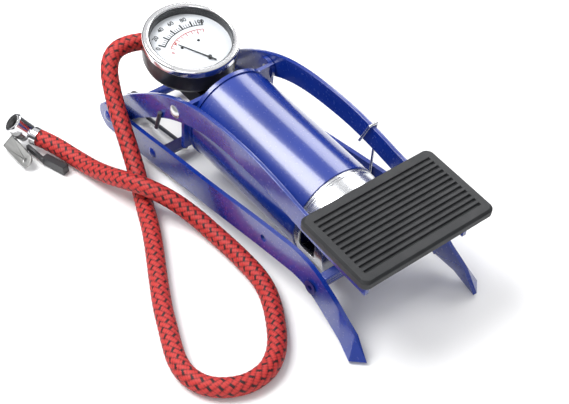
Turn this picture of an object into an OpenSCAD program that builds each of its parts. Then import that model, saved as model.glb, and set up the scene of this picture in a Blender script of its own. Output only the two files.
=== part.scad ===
// Single-barrel foot pump with a pressure gauge and a braided hose.
// Millimetres. +X runs from the hose end to the pedal, +Y to the left, +Z up.
// The origin is on the floor, under the middle of the pump without its hose.

/* [Base frame] */
// Distance between the rear axle and the front axle, along X
axle_spacing = 194.2; // [180:0.1:215]
// Width over the two side rails
base_w = 78.6; // [76:0.1:90]
// Height of a side rail's strip
rail_w = 18; // [16:0.5:20]
// Thickness of a side rail's strip
rail_t = 2.5; // [2:0.1:3]
// Height of the front axle above the floor
front_axle_z = 21.5; // [20:0.5:24]
// Diameter of the rear axle
rear_axle_d = 6; // [5:0.5:7]
// Diameter of the front axle
front_axle_d = 5; // [4:0.5:5.4]

/* [Lever] */
// Width over the two lever arms
lever_w = 69.2; // [66:0.1:70]
// Height of an arm's strip
arm_w = 15.4; // [13:0.2:16]
// Thickness of an arm's strip
arm_t = 2.5; // [2:0.1:3]
// Pedal width
pedal_w = 87.5; // [76:1:105]
// Pedal length
pedal_l = 51.6; // [45:0.2:60]
// Thickness of the pedal's rubber pad
pad_t = 5.2; // [4.8:0.1:7]

/* [Barrel] */
// Outer diameter of the barrel's tube
barrel_d = 56.6; // [50:0.2:57]
// Length of the painted tube
tube_l = 91.5; // [80:0.5:95]
// Wall of the tube
tube_wall = 1.2; // [1:0.1:1.6]
// Length of the plated end cap in front of the tube
cap_l = 23.5; // [20:0.5:26]
// Diameter of the piston rod
rod_d = 8; // [6:0.5:10]

/* [Gauge] */
// Diameter over the gauge's bezel
gauge_d = 56.6; // [50:0.2:60]
// Height of the gauge's case
gauge_h = 21.5; // [18:0.5:24]

/* [Hose] */
// Outer diameter of the braided hose
hose_d = 10.5; // [9:0.5:10.5]

/* [Hidden] */
$fn = 64;

// Clearances
run_gap = 0.06;    // radial, a pin turning in its hole
side_gap = 0.2;    // between flat faces that pass each other
slide_gap = 0.06;  // radial, a part sliding in a bore

// Heights and places, measured from the rear axle along X and from the floor along Z
rear_axle_z = rail_w / 2;
pedal_tilt = 6.35;
pedal_back_x = axle_spacing - 6;
pedal_back_z = 68.8;
front_end_x = pedal_back_x + pedal_l * cos(pedal_tilt);
mid_x = (front_end_x - rail_w / 2) / 2;
rail_out = base_w / 2;
rail_in = rail_out - rail_t;
arm_out = lever_w / 2;
arm_in = arm_out - arm_t;

// The barrel's axis: it tilts down to the front and passes above the front axle
barrel_tilt = 5;
rod_rise = 6.9;
cap_front = -6.5;
tube_front = cap_front - cap_l;
tube_back = tube_front - tube_l;
bore_d = barrel_d - 2 * tube_wall;
cap_d = barrel_d - 1.4;
cover_t = 2.5;
cover_d = barrel_d + 1.8;
cover_back = tube_back - cover_t;

// The lever arms are riveted to the barrel's head bracket here, in barrel coordinates
pivot_u = tube_back - 7.5;
pivot_w = 14.6;
pivot_d = 5;
ear_out = arm_in - 0.4;
ear_t = 2.5;
ear_in = ear_out - ear_t;
bracket_t = 2.5;
bracket_back = cover_back - bracket_t;

// Valve block and gauge, in barrel coordinates
block_back = tube_back - 46.5;
block_top = 5.4;
gauge_u = tube_back - 42.2;
gauge_w = 8.6;
gauge_tilt = 6.35;
outlet_y = 8;
outlet_w = 2.6;
fitting_l = 10;

// Torsion springs on the rear axle
spring_wire = 2.4;
spring_coil_r = 6;
spring_turns_w = 9;
spring_y = 21;

// Latch wire hanging over the left arm
latch_x = 0.806 * axle_spacing;
latch_wire_d = 1.6;
latch_y = (arm_out + rail_in) / 2;
latch_hole = [0.79 * axle_spacing, 25.2];

// ---- curves -------------------------------------------------------------------

function mix(a, b, t) = a + (b - a) * t;
function catmull(p0, p1, p2, p3, t) =
    0.5 * (2 * p1 + (p2 - p0) * t + (2 * p0 - 5 * p1 + 4 * p2 - p3) * t * t
    + (3 * p1 - p0 - 3 * p2 + p3) * t * t * t);
function pick(pts, i) =
    i < 0 ? 2 * pts[0] - pts[1]
    : i >= len(pts) ? 2 * pts[len(pts) - 1] - pts[len(pts) - 2]
    : pts[i];
function smooth_line(pts, steps) = concat(
    [for (i = [0 : len(pts) - 2], k = [0 : steps - 1])
        catmull(pick(pts, i - 1), pts[i], pts[i + 1], pick(pts, i + 2), k / steps)],
    [pts[len(pts) - 1]]);
function unit(v) = v / norm(v);
function tangent(pts, i) =
    unit(pts[min(i + 1, len(pts) - 1)] - pts[max(i - 1, 0)]);
function left_of(pts, i, d) = pts[i] + d * [-tangent(pts, i)[1], tangent(pts, i)[0]];

// A flat strip of constant or tapering width along a centreline, round at its start
module strip(pts, w0, w1) {
    n = len(pts) - 1;
    a0 = atan2(tangent(pts, 0)[1], tangent(pts, 0)[0]);
    polygon(concat(
        [for (i = [0 : n]) left_of(pts, i, mix(w0, w1, i / n) / 2)],
        [for (i = [n : -1 : 0]) left_of(pts, i, -mix(w0, w1, i / n) / 2)],
        [for (k = [1 : 19]) pts[0] + w0 / 2 * [cos(a0 - 90 - 9 * k), sin(a0 - 90 - 9 * k)]]));
}

// ---- frames -------------------------------------------------------------------

module place() translate([-mid_x, 0, 0]) children();
// An outline drawn in X and Z, from y_in to y_out on the right-hand side
module right_plate(y_in, y_out)
    translate([0, -y_in, 0]) rotate([90, 0, 0]) linear_extrude(y_out - y_in) children();
module both_sides() {
    children();
    mirror([0, 1, 0]) children();
}
// A cylinder along Y from y0 to y1 at a place in X and Z
module y_rod(at, d, y0, y1)
    translate([at[0], y0, at[1]]) rotate([-90, 0, 0]) cylinder(d = d, h = y1 - y0);
// Barrel coordinates: u along the barrel to the front, w up from its axis
module along_barrel()
    place() translate([axle_spacing, 0, front_axle_z]) rotate([0, barrel_tilt, 0])
        translate([0, 0, rod_rise]) children();
module u_rod(d, u0, u1)
    translate([u0, 0, 0]) rotate([0, 90, 0]) cylinder(d = d, h = u1 - u0, $fn = 96);
module on_gauge()
    along_barrel() translate([gauge_u, 0, gauge_w]) rotate([0, gauge_tilt, 0]) children();

// ---- base frame ---------------------------------------------------------------

rail_line = smooth_line([[0, rear_axle_z], [0.2 * axle_spacing, 12.6], [0.36 * axle_spacing, 16.2],
    [0.54 * axle_spacing, 19.8], [0.73 * axle_spacing, 24.4], [0.86 * axle_spacing, 27.2],
    [axle_spacing - 14, 28.2], [axle_spacing - 2, 26.2], [axle_spacing + 9.8, 20],
    [axle_spacing + 17.8, 14.5]], 5);
rail_rivet = [0.245 * axle_spacing, 12.6];
leg_top = rail_line[len(rail_line) - 1];
leg_dir = tangent(rail_line, len(rail_line) - 1);
leg_side = [-leg_dir[1], leg_dir[0]];
leg_low = leg_top - 1.5 * leg_dir - (rail_w / 2 - 0.2) * leg_side;
leg_high = leg_top - 1.5 * leg_dir + (rail_w / 2 - 0.2) * leg_side;
foot_front_x = front_end_x - 1.4;

// Eight corners of one stage of the twisted leg: an edge from a to b, given a thickness
function stage(a, b, along) =
    let (n = unit(cross(along, unit(b - a))) * (rail_t - 0.08) / 2)
    [a - n, b - n, b + n, a + n];
rail_mid = rail_in + rail_t / 2;
leg_stages = [
    stage([leg_low[0], -rail_mid, leg_low[1]], [leg_high[0], -rail_mid, leg_high[1]],
        [leg_dir[0], 0, leg_dir[1]]),
    stage([axle_spacing + 25.8, -rail_mid - 2.5, 4], [axle_spacing + 34.8, -rail_mid - 0.2, 14],
        unit([0.8, -0.05, -0.55])),
    stage([axle_spacing + 37.3, -rail_mid - 6.9, 0.93], [foot_front_x, -rail_mid - 0.2, 0.93],
        unit([0.8, -0.1, -0.57]))];
module twisted_leg() {
    last = len(leg_stages) - 1;
    polyhedron(
        points = [for (s = leg_stages, p = s) p],
        faces = concat([[0, 1, 2, 3]], [[4 * last + 3, 4 * last + 2, 4 * last + 1, 4 * last]],
            [for (i = [0 : last - 1], k = [0 : 3], half = [0, 1])
                let (a = 4 * i + k, b = 4 * i + (k + 1) % 4)
                half == 0 ? [a, a + 4, b + 4] : [a, b + 4, b]]));
}
module side_rail()
    place() difference() {
        union() {
            right_plate(rail_in, rail_out) strip(rail_line, rail_w, rail_w);
            twisted_leg();
        }
        y_rod([0, rear_axle_z], rear_axle_d, -base_w, 0);
        y_rod([axle_spacing, front_axle_z], front_axle_d, -base_w, 0);
        y_rod(rail_rivet, 4, -base_w, 0);
        y_rod(latch_hole, 4.4, -base_w, 0);
    }
module right_side_rail() color("royalblue") side_rail();
module left_side_rail() color("royalblue") mirror([0, 1, 0]) side_rail();

bar_half = 4;
module rear_cross_bar() color("midnightblue") place() difference() {
    union() {
        translate([rail_rivet[0] - bar_half, -rail_in, rail_rivet[1] - 4.6])
            cube([2 * bar_half, 2 * rail_in, 2]);
        both_sides() translate([rail_rivet[0] - bar_half, -rail_in, rail_rivet[1] - 4.6])
            cube([2 * bar_half, 1.9, 9]);
    }
    y_rod(rail_rivet, 4, -base_w, base_w);
}

plate_x = axle_spacing + 3.4;
module front_cross_plate() color("royalblue") place() {
    translate([plate_x, -rail_in, front_axle_z + 3]) cube([2, 2 * rail_in, 8]);
    translate([plate_x + 2, -rail_in, front_axle_z + 9.2]) cube([3.2, 2 * rail_in, 1.8]);
}

module rivet_head(at, d, h, y)
    translate([at[0], -y, at[1]]) rotate([90, 0, 0]) intersection() {
        cylinder(d = d, h = h);
        translate([0, 0, h - d * 0.62]) sphere(d = 1.24 * d);
    }
module rail_rivets() color("royalblue") place() both_sides() {
    y_rod(rail_rivet, 4, -rail_out, -rail_in + 1.9);
    rivet_head(rail_rivet, 8, 1.4, rail_out);
}
module rear_axle() color("royalblue") place() {
    y_rod([0, rear_axle_z], rear_axle_d, -rail_out, rail_out);
    both_sides() rivet_head([0, rear_axle_z], 9.5, 1.6, rail_out);
}
// A hollow axle whose ends are flared outside the rails
module front_axle() color("midnightblue") place() difference() {
    union() {
        y_rod([axle_spacing, front_axle_z], front_axle_d, -rail_out, rail_out);
        both_sides() translate([axle_spacing, -rail_out, front_axle_z]) rotate([90, 0, 0])
            cylinder(d1 = front_axle_d + 1.5, d2 = front_axle_d + 3.4, h = 1.2);
    }
    y_rod([axle_spacing, front_axle_z], front_axle_d - 1.8, -base_w, base_w);
}

// ---- springs ------------------------------------------------------------------

module rod_between(a, b, d) {
    v = b - a;
    translate(a) rotate([0, acos(v[2] / norm(v)), atan2(v[1], v[0])])
        cylinder(d = d, h = norm(v), $fn = 24);
}
arm_line = smooth_line([[0, rear_axle_z], [0.1 * axle_spacing, 26.4], [0.18 * axle_spacing, 37.4],
    [0.26 * axle_spacing, 47.2], [0.34 * axle_spacing, 54.8], [0.43 * axle_spacing, 60.8],
    [0.52 * axle_spacing, 63.6], [0.62 * axle_spacing, 64], [0.72 * axle_spacing, 62.8],
    [0.82 * axle_spacing, 59.4], [0.91 * axle_spacing, 55.2], [axle_spacing + 5, 51.4],
    [axle_spacing + 36, 47.6]], 5);
hook_x = 0.25 * axle_spacing;
hook_z = 35;
module torsion_springs() color("dimgray") place() both_sides() {
    translate([0, -spring_y - spring_turns_w / 2, rear_axle_z]) rotate([-90, 0, 0])
        for (k = [0 : 2]) translate([0, 0, (k + 0.5) * spring_turns_w / 3])
            rotate_extrude() translate([spring_coil_r, 0]) circle(d = spring_turns_w / 3 + 0.3);
    top = [-3, -spring_y - 3, rear_axle_z + spring_coil_r - 0.6];
    elbow = [hook_x - 3, -arm_in + spring_wire / 2 + 0.4, hook_z + 1];
    under = [hook_x + 0.6, -arm_out - spring_wire / 2 - 0.1, hook_z - 3.4];
    rod_between(top, elbow, spring_wire);
    rod_between(elbow, under, spring_wire);
    rod_between(under, under + [5, 0, 14], spring_wire);
    for (p = [elbow, under]) translate(p) sphere(d = spring_wire + 0.2, $fn = 24);
}
module spring_lower_legs() color("dimgray") place() both_sides() {
    foot = [rail_rivet[0] + 2, -spring_y + 4, rail_rivet[1] - 4.6 - spring_wire / 2 - 0.1];
    heel = [spring_coil_r + 3.4, -spring_y + 4, spring_wire / 2 + 1.2];
    rod_between(heel, foot, spring_wire);
    translate(foot) sphere(d = spring_wire + 0.2, $fn = 24);
    translate(heel) sphere(d = spring_wire + 0.2, $fn = 24);
}

// ---- lever --------------------------------------------------------------------

pivot_x = axle_spacing + (pivot_u * cos(barrel_tilt)) + (pivot_w + rod_rise) * sin(barrel_tilt);
pivot_z = front_axle_z - pivot_u * sin(barrel_tilt) + (pivot_w + rod_rise) * cos(barrel_tilt);
pivot = [pivot_x, pivot_z];
module lever_arm() place() difference() {
    right_plate(arm_in, arm_out) strip(arm_line, arm_w, arm_w - 2);
    y_rod([0, rear_axle_z], rear_axle_d + 2 * run_gap, -base_w, 0);
    y_rod(pivot, pivot_d, -base_w, 0);
}
module right_lever_arm() color("cornflowerblue") lever_arm();
module left_lever_arm() color("cornflowerblue") mirror([0, 1, 0]) lever_arm();

// Pedal coordinates: from the pad's rear top edge, x along the pad, z up from its top
module on_pedal()
    place() translate([pedal_back_x, 0, pedal_back_z]) rotate([0, pedal_tilt, 0]) children();
plate_edge = 4;
plate_t = 1.8;
plate_top = -2.2;
flange_h = 9.5;
module pedal_plate() color("midnightblue") on_pedal() {
    translate([plate_edge, -pedal_w / 2 + plate_edge, plate_top - plate_t])
        cube([pedal_l - 2 * plate_edge, pedal_w - 2 * plate_edge, plate_t]);
    both_sides() translate([plate_edge + 4, -arm_in, plate_top - plate_t - flange_h])
        cube([pedal_l - 2 * plate_edge - 8, plate_t, flange_h]);
}
groove_pitch = 3.45;
groove_count = 12;
module pedal_pad() color("#3c3d40") on_pedal() difference() {
    pad_block();
    translate([plate_edge, -pedal_w / 2 + plate_edge, plate_top - plate_t])
        cube([pedal_l - 2 * plate_edge, pedal_w - 2 * plate_edge, plate_t]);
    translate([plate_edge + 2.5, -pedal_w / 2 + plate_edge + 2.5, -pad_t - 1])
        cube([pedal_l - 2 * plate_edge - 5, pedal_w - 2 * plate_edge - 5,
            pad_t + 1.01 + plate_top - plate_t]);
    for (k = [0 : groove_count - 1])
        translate([pedal_l / 2 + (k - (groove_count - 1) / 2) * groove_pitch - 0.8,
            -pedal_w / 2 + 5, -1.3])
            cube([1.6, pedal_w - 10, 2]);
}
// The pad's block: a flat top with a bevelled rim and rounded corners
module pad_block() {
    r = 4;
    bevel = 1.4;
    module outline(inset) translate([inset, -pedal_w / 2 + inset]) {
        l = pedal_l - 2 * inset;
        w = pedal_w - 2 * inset;
        translate([r, 0]) square([l - 2 * r, w]);
        translate([0, r]) square([l, w - 2 * r]);
        for (x = [r, l - r], y = [r, w - r]) translate([x, y]) circle(r = r);
    }
    translate([0, 0, -pad_t]) linear_extrude(pad_t - bevel) outline(0);
    for (k = [0 : 2]) translate([0, 0, -bevel + k * bevel / 3])
        linear_extrude(bevel / 3) outline((k + 1) * bevel / 4);
}
pedal_rivet_x = [plate_edge + 9, pedal_l - plate_edge - 9];
module pedal_rivets() color("silver") on_pedal() both_sides()
    for (x = pedal_rivet_x) translate([x, -arm_in + plate_t, plate_top - plate_t - 6.6])
        rotate([90, 0, 0]) translate([0, 0, -1.2]) cylinder(d = 4.4, h = 1.2);

module axle_spacers() color("silver") place() both_sides()
    translate([0, -rail_in, rear_axle_z]) rotate([-90, 0, 0]) difference() {
        cylinder(d = rear_axle_d + 6, h = rail_in - arm_out - side_gap);
        translate([0, 0, -1]) cylinder(d = rear_axle_d, h = rail_in - arm_out + 2);
    }
module head_rivets() color("silver") place() both_sides() {
    y_rod(pivot, pivot_d, -arm_out, -arm_in);
    rivet_head(pivot, 9, 1.8, arm_out);
}

// ---- latch --------------------------------------------------------------------

// The latch crosses over the arm here, just above its top edge
latch_share = 0.745;
latch_arm_z = mix(arm_line[44][1], arm_line[45][1], 0.3);
latch_top = [latch_x, latch_arm_z + mix(arm_w, arm_w - 2, latch_share) / 2 + 0.5 + latch_wire_d / 2];
module latch_wire() color("gainsboro") place() {
    inner = arm_in - 0.4 - latch_wire_d / 2;
    over = [latch_top[0], latch_y, latch_top[1]];
    inside = [latch_top[0], inner, latch_top[1]];
    tip = [latch_top[0] - 7.5, inner, latch_top[1] - 14.5];
    hook = [latch_hole[0], latch_y, latch_hole[1]];
    rod_between(inside, over, latch_wire_d);
    rod_between(inside, tip, latch_wire_d);
    rod_between(over, hook, latch_wire_d);
    for (p = [over, inside, tip, hook]) translate(p)
        sphere(d = latch_wire_d + 0.16, $fn = 24);
}

// ---- barrel -------------------------------------------------------------------

module barrel_tube() color("mediumblue") along_barrel() difference() {
    u_rod(barrel_d, tube_back, tube_front);
    u_rod(bore_d, tube_back - 1, tube_front + 1);
}
cap_wall = 1.2;
spigot_l = 6;
vent_l = 12.5;
vent_h = 11;
module front_cap() color("gainsboro") along_barrel() difference() {
    union() {
        u_rod(bore_d, tube_front - spigot_l, tube_front);
        u_rod(cap_d, tube_front, cap_front);
        u_rod(cap_d + 0.8, tube_front + 2, tube_front + 3.4);
    }
    u_rod(bore_d - 2 * cap_wall, tube_front - spigot_l - 1, cap_front - cap_wall);
    u_rod(rod_d + 2 * slide_gap, cap_front - 2 * cap_wall, cap_front + 1);
    translate([tube_front + 4.2, -barrel_d, -vent_h / 2]) cube([vent_l, 2 * barrel_d, vent_h]);
}
module rear_cover() color("mediumblue") along_barrel() {
    u_rod(cover_d, cover_back, tube_back);
    difference() {
        u_rod(bore_d, tube_back, tube_back + 5);
        u_rod(bore_d - 3, tube_back + 0.01, tube_back + 6);
    }
}
module head_bracket() color("royalblue") along_barrel() difference() {
    union() {
        translate([bracket_back, -ear_in, -12]) cube([bracket_t, 2 * ear_in, 32]);
        both_sides() translate([0, -ear_in, 0]) rotate([90, 0, 0]) linear_extrude(ear_t) {
            translate([pivot_u, pivot_w]) circle(d = 13);
            translate([pivot_u, pivot_w - 6.5]) square([bracket_back + bracket_t - pivot_u, 12]);
            translate([bracket_back, -12]) square([bracket_t, 32]);
        }
    }
    y_rod([pivot_u, pivot_w], pivot_d, -base_w, base_w);
}
module head_rivet_tails() color("silver") along_barrel() both_sides()
    y_rod([pivot_u, pivot_w], pivot_d, -ear_out, -ear_in);

module valve_block() color("#26282c") along_barrel() difference() {
    union() {
        translate([block_back, -9, -7]) cube([bracket_back - block_back, 18, 7 + block_top]);
        u_from(block_back, outlet_y, outlet_w) cylinder(d = 10, h = 12);
    }
    u_from(block_back - 1, outlet_y, outlet_w) cylinder(d = 5, h = 9);
    translate([gauge_u, 0, gauge_w]) rotate([0, gauge_tilt, 0]) stem_shape();
}
// Starts a cylinder along the barrel's axis at u, y and w
module u_from(u, y, w) translate([u, y, w]) rotate([0, 90, 0]) children();
module hose_fitting() color("silver") along_barrel() translate([block_back, outlet_y, outlet_w])
    rotate([0, -90, 0]) {
        cylinder(d = 11, h = 3, $fn = 6);
        cylinder(d = hose_d + 1.6, h = fitting_l);
    }

// ---- gauge --------------------------------------------------------------------

module stem_shape()
    translate([0, 0, -7]) rotate([0, 0, 30]) cylinder(d = 8, h = 7, $fn = 6);
module gauge_stem() color("silver") on_gauge() stem_shape();
bezel_h = 5;
dial_z = gauge_h - 6.2;
lens_z = gauge_h - 2;
module gauge_case() color("#1e1f22") on_gauge() difference() {
    union() {
        cylinder(d1 = gauge_d - 12, d2 = gauge_d - 4, h = 3);
        translate([0, 0, 3]) cylinder(d1 = gauge_d - 4, d2 = gauge_d - 1.6, h = 3);
        translate([0, 0, 6]) cylinder(d = gauge_d - 1.6, h = gauge_h - bezel_h - 6);
        translate([0, 0, gauge_h - bezel_h]) cylinder(d = gauge_d - 6, h = bezel_h - 1.2);
    }
    translate([0, 0, dial_z - 1]) cylinder(d = gauge_d - 9, h = gauge_h);
}
module gauge_dial() color("white") on_gauge()
    translate([0, 0, dial_z - 1]) cylinder(d = gauge_d - 9, h = 1);
module gauge_lens() color("lightcyan", 0.4) on_gauge()
    translate([0, 0, lens_z]) cylinder(d = gauge_d - 9.2, h = 1.2);
module gauge_bezel() color("gainsboro") on_gauge() difference() {
    union() {
        translate([0, 0, gauge_h - bezel_h]) cylinder(d = gauge_d, h = bezel_h - 1);
        translate([0, 0, gauge_h - 1]) cylinder(d1 = gauge_d, d2 = gauge_d - 2, h = 1);
    }
    translate([0, 0, -1]) cylinder(d = gauge_d - 6, h = gauge_h - 1.2 + 1);
    translate([0, 0, gauge_h - 2]) cylinder(d1 = gauge_d - 9.2, d2 = gauge_d - 6, h = 3);
}
needle_hub = [14.9, 2.9];
needle_l = 20;
needle_rest = 30;
module gauge_needle() color("black") on_gauge()
    translate([needle_hub[0], needle_hub[1], dial_z + 0.4]) rotate([0, 0, needle_rest]) {
        cylinder(d = 2.4, h = 1.4);
        translate([0, 0, 0.2]) linear_extrude(0.5)
            polygon([[4, -0.5], [4, 0.5], [0, 0.45], [-needle_l, 0.15], [-needle_l, -0.15], [0, -0.45]]);
    }

// ---- piston -------------------------------------------------------------------

piston_front = tube_back + 18.5;
rod_end = -1;
module piston_rod() color("silver") along_barrel()
    u_rod(rod_d, piston_front - 16, rod_end);
module rod_sleeve() color("cornflowerblue") place() difference() {
    y_rod([axle_spacing, front_axle_z], front_axle_d + 2.6, -arm_in, arm_in);
    y_rod([axle_spacing, front_axle_z], front_axle_d + 2 * run_gap, -base_w, base_w);
    translate([mid_x, 0, 0]) along_barrel() u_rod(rod_d, -20, rod_end);
}
module piston() color("gainsboro") along_barrel() difference() {
    u_rod(bore_d - 1.2, piston_front - 5, piston_front);
    u_rod(rod_d, piston_front - 6, piston_front + 1);
}
module piston_cup() color("saddlebrown") along_barrel() difference() {
    u_rod(bore_d - 2 * slide_gap, piston_front - 12, piston_front - 5);
    u_rod(bore_d - 5, piston_front - 13, piston_front - 8);
    u_rod(rod_d, piston_front - 13, piston_front);
}
module rod_nut() color("silver") along_barrel() difference() {
    translate([piston_front - 13, 0, 0]) rotate([0, 90, 0]) cylinder(d = 15, h = 5, $fn = 6);
    u_rod(rod_d, piston_front - 14, piston_front - 7);
}

// ---- hose and chuck -----------------------------------------------------------

// The hose's route: from the fitting round under the gauge, down to the floor beside
// the rail, round in a loop, over itself, and to the chuck
hose_x = axle_spacing - mid_x + (block_back - fitting_l) * cos(barrel_tilt)
    + (outlet_w + rod_rise) * sin(barrel_tilt);
hose_z = front_axle_z - (block_back - fitting_l) * sin(barrel_tilt)
    + (outlet_w + rod_rise) * cos(barrel_tilt);
hose_out = [hose_x, outlet_y, hose_z];
floor_z = hose_d / 2 + 0.05;
beside = [0, (78.6 - base_w) / 2, 0];

// The chuck lies on the edge of its lever: its mouth looks up and to the right
chuck_at = [-133.8, -84.8, 8.2] + beside;
chuck_yaw = -27.5;
chuck_lean = 40;
chuck_spin = 20;
stem_yaw = 19;
head_d = 13;
head_h = 12;
mouth_d = 9.6;
mouth_l = 6.3;
ferrule_back = 6;
ferrule_end = 10.5;
function stem_out(l) = [l * cos(stem_yaw), l * sin(stem_yaw), 0];
hose_route = concat(
    [hose_out, hose_out + [-7, -0.4, 0.6], hose_out + [-13.5, -3.4, 1.3],
        hose_out + [-18, -9.2, 2], hose_out + [-20.7, -16.6, 2.8],
        hose_out + [-22.4, -25, 3.9], hose_out + [-22, -33.5, 4.1]],
    [for (p = [[-116.6, -32.3, 48.2], [-111.6, -37, 43.4], [-104.8, -40.3, 37.4],
        [-97, -43.2, 31], [-86.8, -46.4, 24.4], [-75.5, -49.8, 17.6], [-63, -54, 11],
        [-50, -59.5, 6.6], [-36.5, -65.5, floor_z], [-21, -72.5, floor_z],
        [-4, -81.5, floor_z], [14, -91.5, floor_z], [30, -100, floor_z],
        [43, -106, floor_z], [54, -111, floor_z], [64.5, -115, floor_z],
        [75.5, -116.5, floor_z], [86, -113.5, floor_z], [94, -106, floor_z],
        [98.5, -95.5, floor_z], [98, -84, floor_z], [93, -74.5, floor_z],
        [85.5, -67, floor_z], [76, -60.5, floor_z], [65.5, -54.5, floor_z],
        [55, -50, floor_z], [44, -47.3, floor_z], [30, -46.2, floor_z],
        [16, -46, floor_z], [2, -46.8, 6.2], [-12, -49.2, 9.4], [-26, -54.3, 14.2],
        [-40, -61, 17.4], [-54, -66, 15.6], [-68, -69, 11.4], [-82, -71, 7.8],
        [-96, -73.2, 6.4], [-110, -76.7, 7.4]]) p + beside],
    [chuck_at + stem_out(16.2), chuck_at + stem_out(13.4), chuck_at + stem_out(ferrule_end)]);
hose_sides = 10;
function hose_ring(path, i) =
    let (t = tangent(path, i), s = unit(cross(t, [0, 0, 1])), v = cross(s, t))
    [for (k = [0 : hose_sides - 1]) let (a = k * 360 / hose_sides)
        path[i] + hose_d / 2 * (cos(a) * s + sin(a) * v)];
module hose() color("firebrick") {
    path = smooth_line(hose_route, 2);
    n = len(path);
    sides = hose_sides;
    polyhedron(
        points = [for (i = [0 : n - 1], p = hose_ring(path, i)) p],
        faces = concat(
            [[for (k = [0 : sides - 1]) k]],
            [[for (k = [sides - 1 : -1 : 0]) (n - 1) * sides + k]],
            [for (i = [0 : n - 2], k = [0 : sides - 1], half = [0, 1])
                let (a = i * sides + k, b = i * sides + (k + 1) % sides)
                half == 0 ? [a, a + sides, b + sides] : [a, b + sides, b]]));
}

module on_chuck()
    translate(chuck_at) rotate([0, 0, chuck_yaw]) rotate([chuck_lean, 0, 0])
        rotate([0, 0, chuck_spin]) children();
module on_stem() translate(chuck_at) rotate([0, 90, stem_yaw]) children();
lever_at = 4;
module chuck_head() color("gainsboro") difference() {
    union() {
        on_chuck() cylinder(d = head_d, h = head_h - 1);
        on_chuck() translate([0, 0, head_h - 1]) cylinder(d1 = head_d, d2 = head_d - 1.4, h = 1);
        on_stem() cylinder(d = 7.6, h = ferrule_back);
    }
    on_chuck() translate([0, 0, head_h - mouth_l]) cylinder(d = mouth_d, h = 8);
    on_chuck() translate([0, 0, lever_at]) rotate([90, 0, 0]) cylinder(d = 3, h = head_d);
}
module chuck_seal() color("#17181a") on_chuck() translate([0, 0, head_h - mouth_l]) difference() {
    cylinder(d = mouth_d, h = mouth_l - 0.8);
    translate([0, 0, 1.6]) cylinder(d = 5, h = 5);
    translate([0, 0, mouth_l - 2.4]) cylinder(d1 = 5, d2 = 8.4, h = 2);
}
module chuck_ferrule() color("gainsboro") on_stem()
    translate([0, 0, ferrule_back]) cylinder(d = hose_d + 1.4, h = ferrule_end - ferrule_back);
thumb_w = 8;
thumb_gap = 0.4;
thumb_l = 24;
thumb_drop = 20;
module chuck_pin() color("silver") on_chuck() translate([0, 0, lever_at]) rotate([90, 0, 0]) {
    cylinder(d = 3, h = head_d / 2 + thumb_gap + thumb_w);
}
module chuck_lever() color("darkgray") on_chuck()
    translate([0, -head_d / 2 - thumb_gap, lever_at]) rotate([0, thumb_drop, 0])
        rotate([90, 0, 0]) difference() {
            union() {
                cylinder(d = 5.2, h = thumb_w);
                translate([0, 1.2, 0]) cube([thumb_l - thumb_w / 2, 1.4, thumb_w]);
                translate([thumb_l - thumb_w / 2, 2.6, thumb_w / 2]) rotate([90, 0, 0])
                    cylinder(d = thumb_w, h = 1.4);
                translate([2, -1.2, 0]) cube([12, 3, 1.1]);
                translate([2, -1.2, thumb_w - 1.1]) cube([12, 3, 1.1]);
            }
            translate([0, 0, -1]) cylinder(d = 3 + 2 * run_gap, h = thumb_w + 2);
            translate([thumb_l - 4.5, 3, thumb_w / 2]) rotate([90, 0, 0]) cylinder(d = 2, h = 3);
        }
// A strap from the ferrule to a small block that lies beside the hose
module hose_clip() color("#17181a") translate([-126.5, -90.4, 2.4] + beside) {
    rotate([0, 0, 4]) cube([17, 2, 3.4]);
    translate([15.5, 1.6, -1.6]) rotate([0, 0, 16]) cube([17, 4.6, 5.4]);
}

right_side_rail();
left_side_rail();
rear_cross_bar();
front_cross_plate();
rail_rivets();
rear_axle();
front_axle();
spring_lower_legs();
right_lever_arm();
left_lever_arm();
pedal_plate();
pedal_pad();
pedal_rivets();
torsion_springs();
axle_spacers();
head_rivets();
latch_wire();
barrel_tube();
front_cap();
rear_cover();
head_bracket();
head_rivet_tails();
valve_block();
gauge_stem();
gauge_case();
gauge_dial();
gauge_lens();
gauge_bezel();
hose_fitting();
hose();
chuck_ferrule();
chuck_head();
chuck_seal();
chuck_pin();
hose_clip();
gauge_needle();
chuck_lever();
piston_rod();
rod_sleeve();
piston();
piston_cup();
rod_nut();
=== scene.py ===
import bpy, bmesh, math
from mathutils import Vector, Matrix


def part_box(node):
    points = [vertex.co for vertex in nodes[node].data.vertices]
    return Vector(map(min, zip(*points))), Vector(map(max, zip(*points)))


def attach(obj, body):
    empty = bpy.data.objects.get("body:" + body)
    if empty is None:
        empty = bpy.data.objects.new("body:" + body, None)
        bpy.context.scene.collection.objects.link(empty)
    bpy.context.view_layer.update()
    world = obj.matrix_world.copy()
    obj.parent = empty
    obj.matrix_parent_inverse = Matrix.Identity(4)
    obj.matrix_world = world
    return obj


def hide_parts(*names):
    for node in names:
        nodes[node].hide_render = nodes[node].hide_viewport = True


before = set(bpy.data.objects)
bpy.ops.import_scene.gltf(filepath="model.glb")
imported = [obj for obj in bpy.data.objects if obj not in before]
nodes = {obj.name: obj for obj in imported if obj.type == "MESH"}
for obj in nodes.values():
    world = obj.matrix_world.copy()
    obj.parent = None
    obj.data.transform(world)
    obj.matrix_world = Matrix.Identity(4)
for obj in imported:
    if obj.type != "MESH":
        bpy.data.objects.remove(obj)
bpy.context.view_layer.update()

scene = bpy.context.scene

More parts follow.
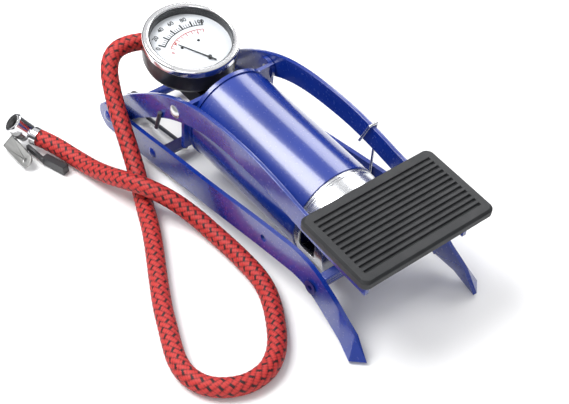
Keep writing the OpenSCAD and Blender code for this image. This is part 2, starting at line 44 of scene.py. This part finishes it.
# ---- camera: a little above the pedal end, on the hose's side --------------------
cam_data = bpy.data.cameras.new("camera")
cam_data.lens = 86.1
cam_data.sensor_width = 36
cam = bpy.data.objects.new("camera", cam_data)
scene.collection.objects.link(cam)
cam.location = (0.4470, -0.3489, 0.5381)
cam.rotation_mode = "QUATERNION"
cam.rotation_quaternion = Vector((-0.56845, 0.45073, -0.68826)).to_track_quat("-Z", "Y")
cam_data.clip_start, cam_data.clip_end = 0.01, 20
scene.camera = cam


# ---- materials -------------------------------------------------------------------
def material(name, low, high, rough=0.4, metal=0.0, coat=0.0, scale=120, stretch=(1, 1, 1),
             bump=0.03, rough_span=0.1, spec=0.5, contrast=0.2):
    """A surface whose colour and gloss drift between two values, with fine relief."""
    m = bpy.data.materials.new(name)
    m.use_nodes = True
    t = m.node_tree
    out = t.nodes["Principled BSDF"]
    coord = t.nodes.new("ShaderNodeTexCoord")
    place = t.nodes.new("ShaderNodeMapping")
    place.inputs["Scale"].default_value = stretch
    t.links.new(coord.outputs["Object"], place.inputs["Vector"])
    big = t.nodes.new("ShaderNodeTexNoise")
    big.inputs["Scale"].default_value = scale * 0.25
    big.inputs["Detail"].default_value = 3
    fine = t.nodes.new("ShaderNodeTexNoise")
    fine.inputs["Scale"].default_value = scale * 6
    fine.inputs["Detail"].default_value = 4
    for n in (big, fine):
        t.links.new(place.outputs["Vector"], n.inputs["Vector"])
    ramp = t.nodes.new("ShaderNodeValToRGB")
    ramp.color_ramp.elements[0].position = 0.5 - contrast
    ramp.color_ramp.elements[0].color = (*low, 1)
    ramp.color_ramp.elements[1].position = 0.5 + contrast
    ramp.color_ramp.elements[1].color = (*high, 1)
    t.links.new(big.outputs["Fac"], ramp.inputs["Fac"])
    t.links.new(ramp.outputs["Color"], out.inputs["Base Color"])
    span = t.nodes.new("ShaderNodeMapRange")
    span.inputs["To Min"].default_value = max(0.02, rough - rough_span / 2)
    span.inputs["To Max"].default_value = rough + rough_span / 2
    t.links.new(fine.outputs["Fac"], span.inputs["Value"])
    t.links.new(span.outputs["Result"], out.inputs["Roughness"])
    relief = t.nodes.new("ShaderNodeBump")
    relief.inputs["Strength"].default_value = bump
    relief.inputs["Distance"].default_value = 0.0005
    t.links.new(fine.outputs["Fac"], relief.inputs["Height"])
    t.links.new(relief.outputs["Normal"], out.inputs["Normal"])
    out.inputs["Metallic"].default_value = metal
    out.inputs["Coat Weight"].default_value = coat
    out.inputs["Coat Roughness"].default_value = 0.12
    out.inputs["Specular IOR Level"].default_value = spec
    return m


blue = material("blue enamel", (0.003, 0.021, 0.20), (0.005, 0.030, 0.26), 0.26, 0, 0.8, 90)
# a darker copy of the blue enamel: painted shade for the rear cross bar, front axle and pedal
# plate, which sit in shade inside the frame
shaded_blue = material("blue enamel in painted shade", (0.004, 0.008, 0.09), (0.008, 0.014, 0.13), 0.36, 0, 0.5, 90)
zinc = material("plated steel", (0.60, 0.61, 0.63), (0.72, 0.73, 0.75), 0.26, 1, 0, 150)
rivet = material("rivet steel", (0.62, 0.63, 0.64), (0.78, 0.78, 0.79), 0.32, 1, 0, 200)
chrome = material("chrome", (0.78, 0.78, 0.80), (0.84, 0.84, 0.85), 0.10, 1, 0, 150, bump=0.01,
                  rough_span=0.05)
bezel_metal = material("bezel", (0.80, 0.80, 0.81), (0.87, 0.87, 0.88), 0.16, 1, 0.2, 150,
                       bump=0.01)
stamped = material("stamped steel", (0.30, 0.30, 0.29), (0.42, 0.42, 0.41), 0.38, 1, 0, 300,
                   (1, 6, 1), bump=0.08)
spring = material("oiled spring wire", (0.030, 0.032, 0.045), (0.06, 0.062, 0.08), 0.4, 0.6, 0.2,
                  400)
polished = material("rod steel", (0.55, 0.55, 0.56), (0.63, 0.63, 0.64), 0.18, 1, 0, 300,
                    (1, 8, 8), bump=0.02)
rubber = material("pedal rubber", (0.017, 0.018, 0.020), (0.028, 0.029, 0.031), 0.55, 0, 0, 350,
                  bump=0.16, spec=0.35)
seal_rubber = material("seal rubber", (0.008, 0.008, 0.009), (0.014, 0.014, 0.015), 0.5, 0, 0, 300,
                       bump=0.08)
black = material("black plastic", (0.010, 0.010, 0.012), (0.018, 0.018, 0.021), 0.33, 0, 0.15, 300,
                 bump=0.05)
# the dial card is a greyed, bluish white rather than white: painted shade, as the dial sits in
# shade
white = material("dial card", (0.72, 0.72, 0.76), (0.80, 0.80, 0.83), 0.55, 0, 0, 300, bump=0.02)
ink = material("black ink", (0.010, 0.010, 0.012), (0.020, 0.020, 0.022), 0.6, 0, 0, 600, bump=0)
red_ink = material("red ink", (0.42, 0.020, 0.018), (0.52, 0.035, 0.03), 0.6, 0, 0, 600, bump=0)
needle_paint = material("needle", (0.012, 0.012, 0.014), (0.022, 0.022, 0.024), 0.5, 0, 0, 600,
                        bump=0)


def lens_material():
    m = bpy.data.materials.new("clear lens")
    m.use_nodes = True
    t = m.node_tree
    t.nodes.remove(t.nodes["Principled BSDF"])
    out = t.nodes["Material Output"]
    clear = t.nodes.new("ShaderNodeBsdfTransparent")
    clear.inputs["Color"].default_value = (0.97, 0.98, 0.98, 1)
    gloss = t.nodes.new("ShaderNodeBsdfGlossy")
    gloss.inputs["Roughness"].default_value = 0.04
    edge = t.nodes.new("ShaderNodeLayerWeight")
    edge.inputs["Blend"].default_value = 0.12
    face = t.nodes.new("ShaderNodeNewGeometry")
    front = t.nodes.new("ShaderNodeMath")
    front.operation = "SUBTRACT"
    front.inputs[0].default_value = 1.0
    share = t.nodes.new("ShaderNodeMath")
    share.operation = "MULTIPLY"
    drift = t.nodes.new("ShaderNodeTexNoise")
    drift.inputs["Scale"].default_value = 40
    wave = t.nodes.new("ShaderNodeBump")
    wave.inputs["Strength"].default_value = 0.02
    t.links.new(drift.outputs["Fac"], wave.inputs["Height"])
    t.links.new(wave.outputs["Normal"], gloss.inputs["Normal"])
    both = t.nodes.new("ShaderNodeMixShader")
    t.links.new(face.outputs["Backfacing"], front.inputs[1])
    t.links.new(edge.outputs["Fresnel"], share.inputs[0])
    t.links.new(front.outputs["Value"], share.inputs[1])
    t.links.new(share.outputs["Value"], both.inputs["Fac"])
    t.links.new(clear.outputs["BSDF"], both.inputs[1])
    t.links.new(gloss.outputs["BSDF"], both.inputs[2])
    t.links.new(both.outputs["Shader"], out.inputs["Surface"])
    return m


looks = {
    blue: ["right_side_rail", "left_side_rail", "front_cross_plate", "rail_rivets", "rear_axle",
           "barrel_tube", "rear_cover", "head_bracket", "rod_sleeve", "right_lever_arm",
           "left_lever_arm"],
    shaded_blue: ["rear_cross_bar", "front_axle", "pedal_plate"],
    zinc: ["front_cap", "latch_wire", "axle_spacers", "gauge_stem", "hose_fitting", "piston",
           "rod_nut"],
    rivet: ["head_rivets", "head_rivet_tails", "pedal_rivets", "chuck_pin"],
    chrome: ["chuck_head", "chuck_ferrule"],
    bezel_metal: ["gauge_bezel"],
    stamped: ["chuck_lever"],
    spring: ["torsion_springs", "spring_lower_legs"],
    polished: ["piston_rod"],
    rubber: ["pedal_pad"],
    seal_rubber: ["chuck_seal", "piston_cup"],
    black: ["gauge_case", "valve_block", "hose_clip"],
    white: ["gauge_dial"],
    needle_paint: ["gauge_needle"],
    lens_material(): ["gauge_lens"],
}
for m, names in looks.items():
    for n in names:
        nodes[n].data.materials.clear()
        nodes[n].data.materials.append(m)


def soften(name, width, angle=35, segments=2):
    """Rounds a CAD node's sharp edges a little, as pressed steel and moulded rubber have."""
    o = nodes[name]
    weld = o.modifiers.new("weld", "WELD")
    weld.merge_threshold = 0.00001
    b = o.modifiers.new("edges", "BEVEL")
    b.width = width
    b.segments = segments
    b.limit_method = "ANGLE"
    b.angle_limit = math.radians(angle)
    b.use_clamp_overlap = True
    o.data.shade_smooth()
    w = o.modifiers.new("shade", "WEIGHTED_NORMAL")
    w.keep_sharp = False


for n, w in {"right_side_rail": 0.0005, "left_side_rail": 0.0005, "right_lever_arm": 0.0005,
             "left_lever_arm": 0.0005, "rear_cross_bar": 0.0004, "front_cross_plate": 0.0004,
             "head_bracket": 0.0005, "pedal_plate": 0.0003, "gauge_bezel": 0.0005,
             "gauge_case": 0.0006, "front_cap": 0.0005, "barrel_tube": 0.0004,
             "rear_cover": 0.0005, "valve_block": 0.0006, "chuck_head": 0.0003,
             "chuck_lever": 0.0003, "hose_clip": 0.0005, "chuck_ferrule": 0.0005,
             "hose_fitting": 0.0004, "pedal_pad": 0.0003}.items():
    soften(n, w)


# ---- the braided hose ------------------------------------------------------------
HOSE_D = 0.0105
THREADS, RISE = 18, 485             # bundles round the hose, and per metre along it
BACK_THREADS, BACK_RISE = 8, 242
hose_exit = (-0.09753, 0.008, 0.04648)
floor_z = HOSE_D / 2 + 0.00005
chuck_at = (-0.1338, -0.0848, 0.0082)


def stem_out(l):
    a = math.radians(19)
    return (chuck_at[0] + l * math.cos(a), chuck_at[1] + l * math.sin(a), chuck_at[2])


def from_exit(x, y, z):
    return (hose_exit[0] + x, hose_exit[1] + y, hose_exit[2] + z)


route = [hose_exit, from_exit(-0.007, -0.0004, 0.0006), from_exit(-0.0135, -0.0034, 0.0013),
         from_exit(-0.018, -0.0092, 0.002), from_exit(-0.0207, -0.0166, 0.0028),
         from_exit(-0.0224, -0.025, 0.0039), from_exit(-0.022, -0.0335, 0.0041),
         (-0.1166, -0.0323, 0.0482), (-0.1116, -0.037, 0.0434), (-0.1048, -0.0403, 0.0374),
         (-0.097, -0.0432, 0.031), (-0.0868, -0.0464, 0.0244), (-0.0755, -0.0498, 0.0176),
         (-0.063, -0.054, 0.011), (-0.05, -0.0595, 0.0066), (-0.0365, -0.0655, floor_z),
         (-0.021, -0.0725, floor_z), (-0.004, -0.0815, floor_z), (0.014, -0.0915, floor_z),
         (0.03, -0.1, floor_z), (0.043, -0.106, floor_z), (0.054, -0.111, floor_z),
         (0.0645, -0.115, floor_z), (0.0755, -0.1165, floor_z), (0.086, -0.1135, floor_z),
         (0.094, -0.106, floor_z), (0.0985, -0.0955, floor_z), (0.098, -0.084, floor_z),
         (0.093, -0.0745, floor_z), (0.0855, -0.067, floor_z), (0.076, -0.0605, floor_z),
         (0.0655, -0.0545, floor_z), (0.055, -0.05, floor_z), (0.044, -0.0473, floor_z),
         (0.03, -0.0462, floor_z), (0.016, -0.046, floor_z), (0.002, -0.0468, 0.0062),
         (-0.012, -0.0492, 0.0094), (-0.026, -0.0543, 0.0142), (-0.04, -0.061, 0.0174),
         (-0.054, -0.066, 0.0156), (-0.068, -0.069, 0.0114), (-0.082, -0.071, 0.0078),
         (-0.096, -0.0732, 0.0064), (-0.11, -0.0767, 0.0074), stem_out(0.0162),
         stem_out(0.0134), stem_out(0.0105)]


def smooth_line(points, steps):
    p = [Vector(q) for q in points]
    p = [2 * p[0] - p[1]] + p + [2 * p[-1] - p[-2]]
    line = []
    for i in range(1, len(p) - 2):
        for k in range(steps):
            t = k / steps
            a, b, c, d = p[i - 1], p[i], p[i + 1], p[i + 2]
            line.append(0.5 * (2 * b + (c - a) * t + (2 * a - 5 * b + 4 * c - d) * t * t
                               + (3 * b - a - 3 * c + d) * t ** 3))
    return line + [p[-2]]


def even(line, step):
    """The same line with points a fixed step apart."""
    length = sum((b - a).length for a, b in zip(line, line[1:]))
    n = max(2, round(length / step))
    made, i, left = [line[0]], 0, 0.0
    want = length / n
    pos = line[0]
    while len(made) < n:
        gap = (line[i + 1] - pos).length
        if left + gap >= want:
            pos = pos + (line[i + 1] - pos) * ((want - left) / gap)
            made.append(pos)
            left = 0.0
        else:
            left += gap
            pos = line[i + 1]
            i += 1
    return made + [line[-1]], length


def make_hose():
    line, length = even(smooth_line(route, 12), 0.0005)
    around = 64
    me = bpy.data.meshes.new("hose")
    verts, faces, mask, bundle_shade = [], [], [], []
    side = Vector((0, 1, 0))
    last = len(line) - 1
    for i, p in enumerate(line):
        t = (line[min(i + 1, last)] - line[max(i - 1, 0)]).normalized()
        side = (side - t * side.dot(t)).normalized()
        up = side.cross(t)
        s = i * length / last
        for k in range(around):
            a = 2 * math.pi * k / around
            turns = a / (2 * math.pi)
            f = THREADS * turns + RISE * s           # the two ways the bundles run
            g = BACK_THREADS * turns - BACK_RISE * s
            ff, gg = f % 1, g % 1
            over = (math.floor(f) + math.floor(g)) % 2 == 0
            across = ff if over else gg
            height = math.sin(math.pi * across) ** 0.7
            along = gg if over else ff
            height *= 0.55 + 0.45 * math.sin(math.pi * along)
            r = HOSE_D / 2 - 0.00026 + 0.00030 * height
            if 0 < i < last:
                verts.append(p + r * (math.cos(a) * side + math.sin(a) * up))
            else:
                verts.append(p + (HOSE_D / 2 - 0.0003) * (math.cos(a) * side + math.sin(a) * up))
            tracer = over and math.floor(f) % 3 == 0
            mask.append(1.0 if tracer else 0.0)
            bundle_shade.append(height)
    for i in range(last):
        for k in range(around):
            a, b = i * around + k, i * around + (k + 1) % around
            faces.append((a, b, b + around, a + around))
    faces.append(tuple(range(around - 1, -1, -1)))
    faces.append(tuple(range(last * around, (last + 1) * around)))
    me.from_pydata(verts, [], faces)
    for name, values in (("tracer", mask), ("bundle_shade", bundle_shade)):
        at = me.attributes.new(name, "FLOAT", "POINT")
        at.data.foreach_set("value", values)
    me.shade_smooth()
    me.update()
    bm = bmesh.new()
    bm.from_mesh(me)
    bmesh.ops.recalc_face_normals(bm, faces=bm.faces)
    bm.to_mesh(me)
    bm.free()
    o = bpy.data.objects.new("braided_hose", me)
    scene.collection.objects.link(o)
    m = bpy.data.materials.new("red braid")
    m.use_nodes = True
    t = m.node_tree
    out = t.nodes["Principled BSDF"]
    tr = t.nodes.new("ShaderNodeAttribute")
    tr.attribute_name = "tracer"
    hi = t.nodes.new("ShaderNodeAttribute")
    hi.attribute_name = "bundle_shade"
    # the braid's red runs from near-black at the edges of each bundle to full red on its crown:
    # painted shade in the crevices between threads
    red = t.nodes.new("ShaderNodeValToRGB")
    red.color_ramp.elements[0].color = (0.08, 0.003, 0.003, 1)
    red.color_ramp.elements[0].position = 0.05
    red.color_ramp.elements[1].color = (0.50, 0.030, 0.026, 1)
    red.color_ramp.elements[1].position = 0.75
    t.links.new(hi.outputs["Fac"], red.inputs["Fac"])
    step = t.nodes.new("ShaderNodeMapRange")
    step.inputs["From Min"].default_value = 0.35
    step.inputs["From Max"].default_value = 0.65
    t.links.new(tr.outputs["Fac"], step.inputs["Value"])
    mix = t.nodes.new("ShaderNodeMix")
    mix.data_type = "RGBA"
    t.links.new(step.outputs["Result"], mix.inputs["Factor"])
    t.links.new(red.outputs["Color"], mix.inputs["A"])
    mix.inputs["B"].default_value = (0.020, 0.003, 0.004, 1)
    t.links.new(mix.outputs["Result"], out.inputs["Base Color"])
    grain = t.nodes.new("ShaderNodeTexNoise")
    grain.inputs["Scale"].default_value = 3500
    relief = t.nodes.new("ShaderNodeBump")
    relief.inputs["Strength"].default_value = 0.25
    relief.inputs["Distance"].default_value = 0.0002
    coord = t.nodes.new("ShaderNodeTexCoord")
    t.links.new(coord.outputs["Object"], grain.inputs["Vector"])
    t.links.new(grain.outputs["Fac"], relief.inputs["Height"])
    t.links.new(relief.outputs["Normal"], out.inputs["Normal"])
    out.inputs["Roughness"].default_value = 0.6
    out.inputs["Specular IOR Level"].default_value = 0.4
    o.data.materials.append(m)
    return o, line, length


hose, hose_line, hose_length = make_hose()
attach(hose, "barrel")
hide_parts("hose")

# ---- the gauge's printed scale ---------------------------------------------------
# Gauge coordinates: x to the pump's front, y to its left, z out of the dial
tilt = math.radians(11.35)
dial_lo, dial_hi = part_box("gauge_dial")
dial_mid = (dial_lo + dial_hi) / 2
out_dir = Vector((math.sin(tilt), 0, math.cos(tilt)))
dial_face = Matrix.Translation(dial_mid + out_dir * 0.0005) @ Matrix.Rotation(tilt, 4, "Y")
HUB = Vector((0.0149, 0.0029, 0))


def add_mesh(name, verts, faces, mat):
    me = bpy.data.meshes.new(name)
    me.from_pydata(verts, [], faces)
    me.update()
    o = bpy.data.objects.new(name, me)
    o.data.materials.append(mat)
    scene.collection.objects.link(o)
    return o


def arc_band(name, centre, r0, r1, a0, a1, z, mat, n=48):
    """A flat band on the dial, angles counted from the rear (-x) towards the hose's side."""
    verts, faces = [], []
    for i in range(n + 1):
        a = math.radians(a0 + (a1 - a0) * i / n)
        d = Vector((-math.cos(a), -math.sin(a), 0))
        verts += [centre + r0 * d + Vector((0, 0, z)), centre + r1 * d + Vector((0, 0, z))]
        if i:
            faces.append((2 * i - 2, 2 * i - 1, 2 * i + 1, 2 * i))
    o = add_mesh(name, verts, faces, mat)
    o.matrix_world = dial_face
    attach(o, "barrel")
    return o


def ticks(name, centre, r0, r1, a0, a1, count, wide, z, mat):
    verts, faces = [], []
    for i in range(count + 1):
        a = math.radians(a0 + (a1 - a0) * i / count)
        d = Vector((-math.cos(a), -math.sin(a), 0))
        s = Vector((d.y, -d.x, 0)) * wide / 2
        k = len(verts)
        for r, w in ((r0, -1), (r0, 1), (r1, 1), (r1, -1)):
            verts.append(centre + r * d + w * s + Vector((0, 0, z)))
        faces.append((k, k + 1, k + 2, k + 3))
    o = add_mesh(name, verts, faces, mat)
    o.matrix_world = dial_face
    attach(o, "barrel")
    return o


Z0 = 0.00012
A0, A1 = 40, -26
arc_band("scale_arc", HUB, 0.0261, 0.0267, A0, A1, Z0, ink)
ticks("scale_ticks", HUB, 0.0262, 0.0290, A0, A1, 20, 0.0004, Z0 + 0.00002, ink)
ticks("scale_tens", HUB, 0.0262, 0.0304, A0, A1, 5, 0.0010, Z0 + 0.00004, ink)
arc_band("inner_arc", HUB, 0.0228, 0.0232, A0, A1, Z0, red_ink)
ticks("inner_ticks", HUB, 0.0214, 0.0230, A0, A1, 14, 0.00022, Z0 + 0.00002, red_ink)
ticks("inner_tens", HUB, 0.0206, 0.0230, A0, A1, 7, 0.0004, Z0 + 0.00004, red_ink)


def number(text, x, y, size, mat, lean=0.0):
    cu = bpy.data.curves.new("number_" + text, "FONT")
    cu.body = text
    cu.size = size
    cu.align_x = "CENTER"
    cu.align_y = "CENTER"
    cu.offset = 0.00006
    o = bpy.data.objects.new("number_" + text, cu)
    scene.collection.objects.link(o)
    # read from the pedal end, with the top of each figure towards the rear
    o.matrix_world = dial_face @ Matrix.Translation((x, y, Z0 + 0.00003)) \
        @ Matrix.Rotation(math.pi / 2 + lean, 4, "Z")
    o.data.materials.append(mat)
    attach(o, "barrel")
    return o


for text, x, y in (("0", -0.0060, -0.0182), ("20", -0.0134, -0.0152), ("40", -0.0176, -0.0088),
                   ("60", -0.0188, -0.0010), ("80", -0.0176, 0.0070), ("100", -0.0118, 0.0142)):
    a = math.atan2(-(y - HUB.y), -(x - HUB.x))
    number(text, x, y, 0.0040, ink, a * 0.8)
for text, x, y in (("0", 0.0010, -0.0128), ("4", -0.0042, -0.0075), ("7", -0.0042, 0.0085)):
    number(text, x, y, 0.0026, red_ink, 0.2)


def disc(name, x, y, r, h, mat, body="barrel"):
    bm = bmesh.new()
    bmesh.ops.create_cone(bm, cap_ends=True, segments=32, radius1=r, radius2=r * 0.8, depth=h)
    me = bpy.data.meshes.new(name)
    bm.to_mesh(me)
    bm.free()
    o = bpy.data.objects.new(name, me)
    scene.collection.objects.link(o)
    o.data.materials.append(mat)
    o.matrix_world = dial_face @ Matrix.Translation((x, y, h / 2))
    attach(o, body)
    return o


disc("dial_screw_a", 0.0002, 0.0054, 0.0009, 0.0005, ink)
disc("dial_screw_b", 0.0003, -0.0062, 0.0009, 0.0005, ink)

# ---- floor and light -------------------------------------------------------------
bm = bmesh.new()
bmesh.ops.create_grid(bm, x_segments=1, y_segments=1, size=4)
me = bpy.data.meshes.new("floor")
bm.to_mesh(me)
bm.free()
floor = bpy.data.objects.new("floor", me)
floor.location = (0, 0, -0.0002)
scene.collection.objects.link(floor)
floor.data.materials.append(material("pale floor", (0.86, 0.86, 0.86), (0.88, 0.88, 0.88), 0.7,
                                     0, 0, 4, bump=0.0, spec=0.2))

world = bpy.data.worlds.new("studio")
scene.world = world
world.use_nodes = True
sky = world.node_tree.nodes["Background"]
sky.inputs["Strength"].default_value = 0.8
way = world.node_tree.nodes.new("ShaderNodeTexCoord")
parts = world.node_tree.nodes.new("ShaderNodeSeparateXYZ")
bands = world.node_tree.nodes.new("ShaderNodeValToRGB")
bands.color_ramp.elements[0].position = 0.0
bands.color_ramp.elements[0].color = (0.30, 0.31, 0.33, 1)
bands.color_ramp.elements[1].position = 1.0
bands.color_ramp.elements[1].color = (1, 1, 1, 1)
for place, level in ((0.18, 0.10), (0.42, 0.16), (0.55, 0.95)):
    bands.color_ramp.elements.new(place).color = (level, level, level * 1.04, 1)
world.node_tree.links.new(way.outputs["Generated"], parts.inputs["Vector"])
world.node_tree.links.new(parts.outputs["Z"], bands.inputs["Fac"])
world.node_tree.links.new(bands.outputs["Color"], sky.inputs["Color"])


def light(name, where, aim, size, power):
    d = bpy.data.lights.new(name, "AREA")
    d.shape = "RECTANGLE"
    d.size, d.size_y = size
    d.energy = power
    o = bpy.data.objects.new(name, d)
    scene.collection.objects.link(o)
    o.location = where
    o.rotation_mode = "QUATERNION"
    o.rotation_quaternion = (Vector(aim) - Vector(where)).to_track_quat("-Z", "Y")
    return o


light("key", (-0.5, -0.5, 1.3), (0, 0, 0), (0.8, 0.8), 22)
light("fill", (1.0, -0.9, 0.7), (0, 0, 0), (0.9, 0.9), 5)
light("back", (-0.4, 1.1, 0.9), (0, 0, 0), (1.0, 0.7), 11)
scene.view_settings.view_transform = "Standard"
scene.view_settings.look = "None"
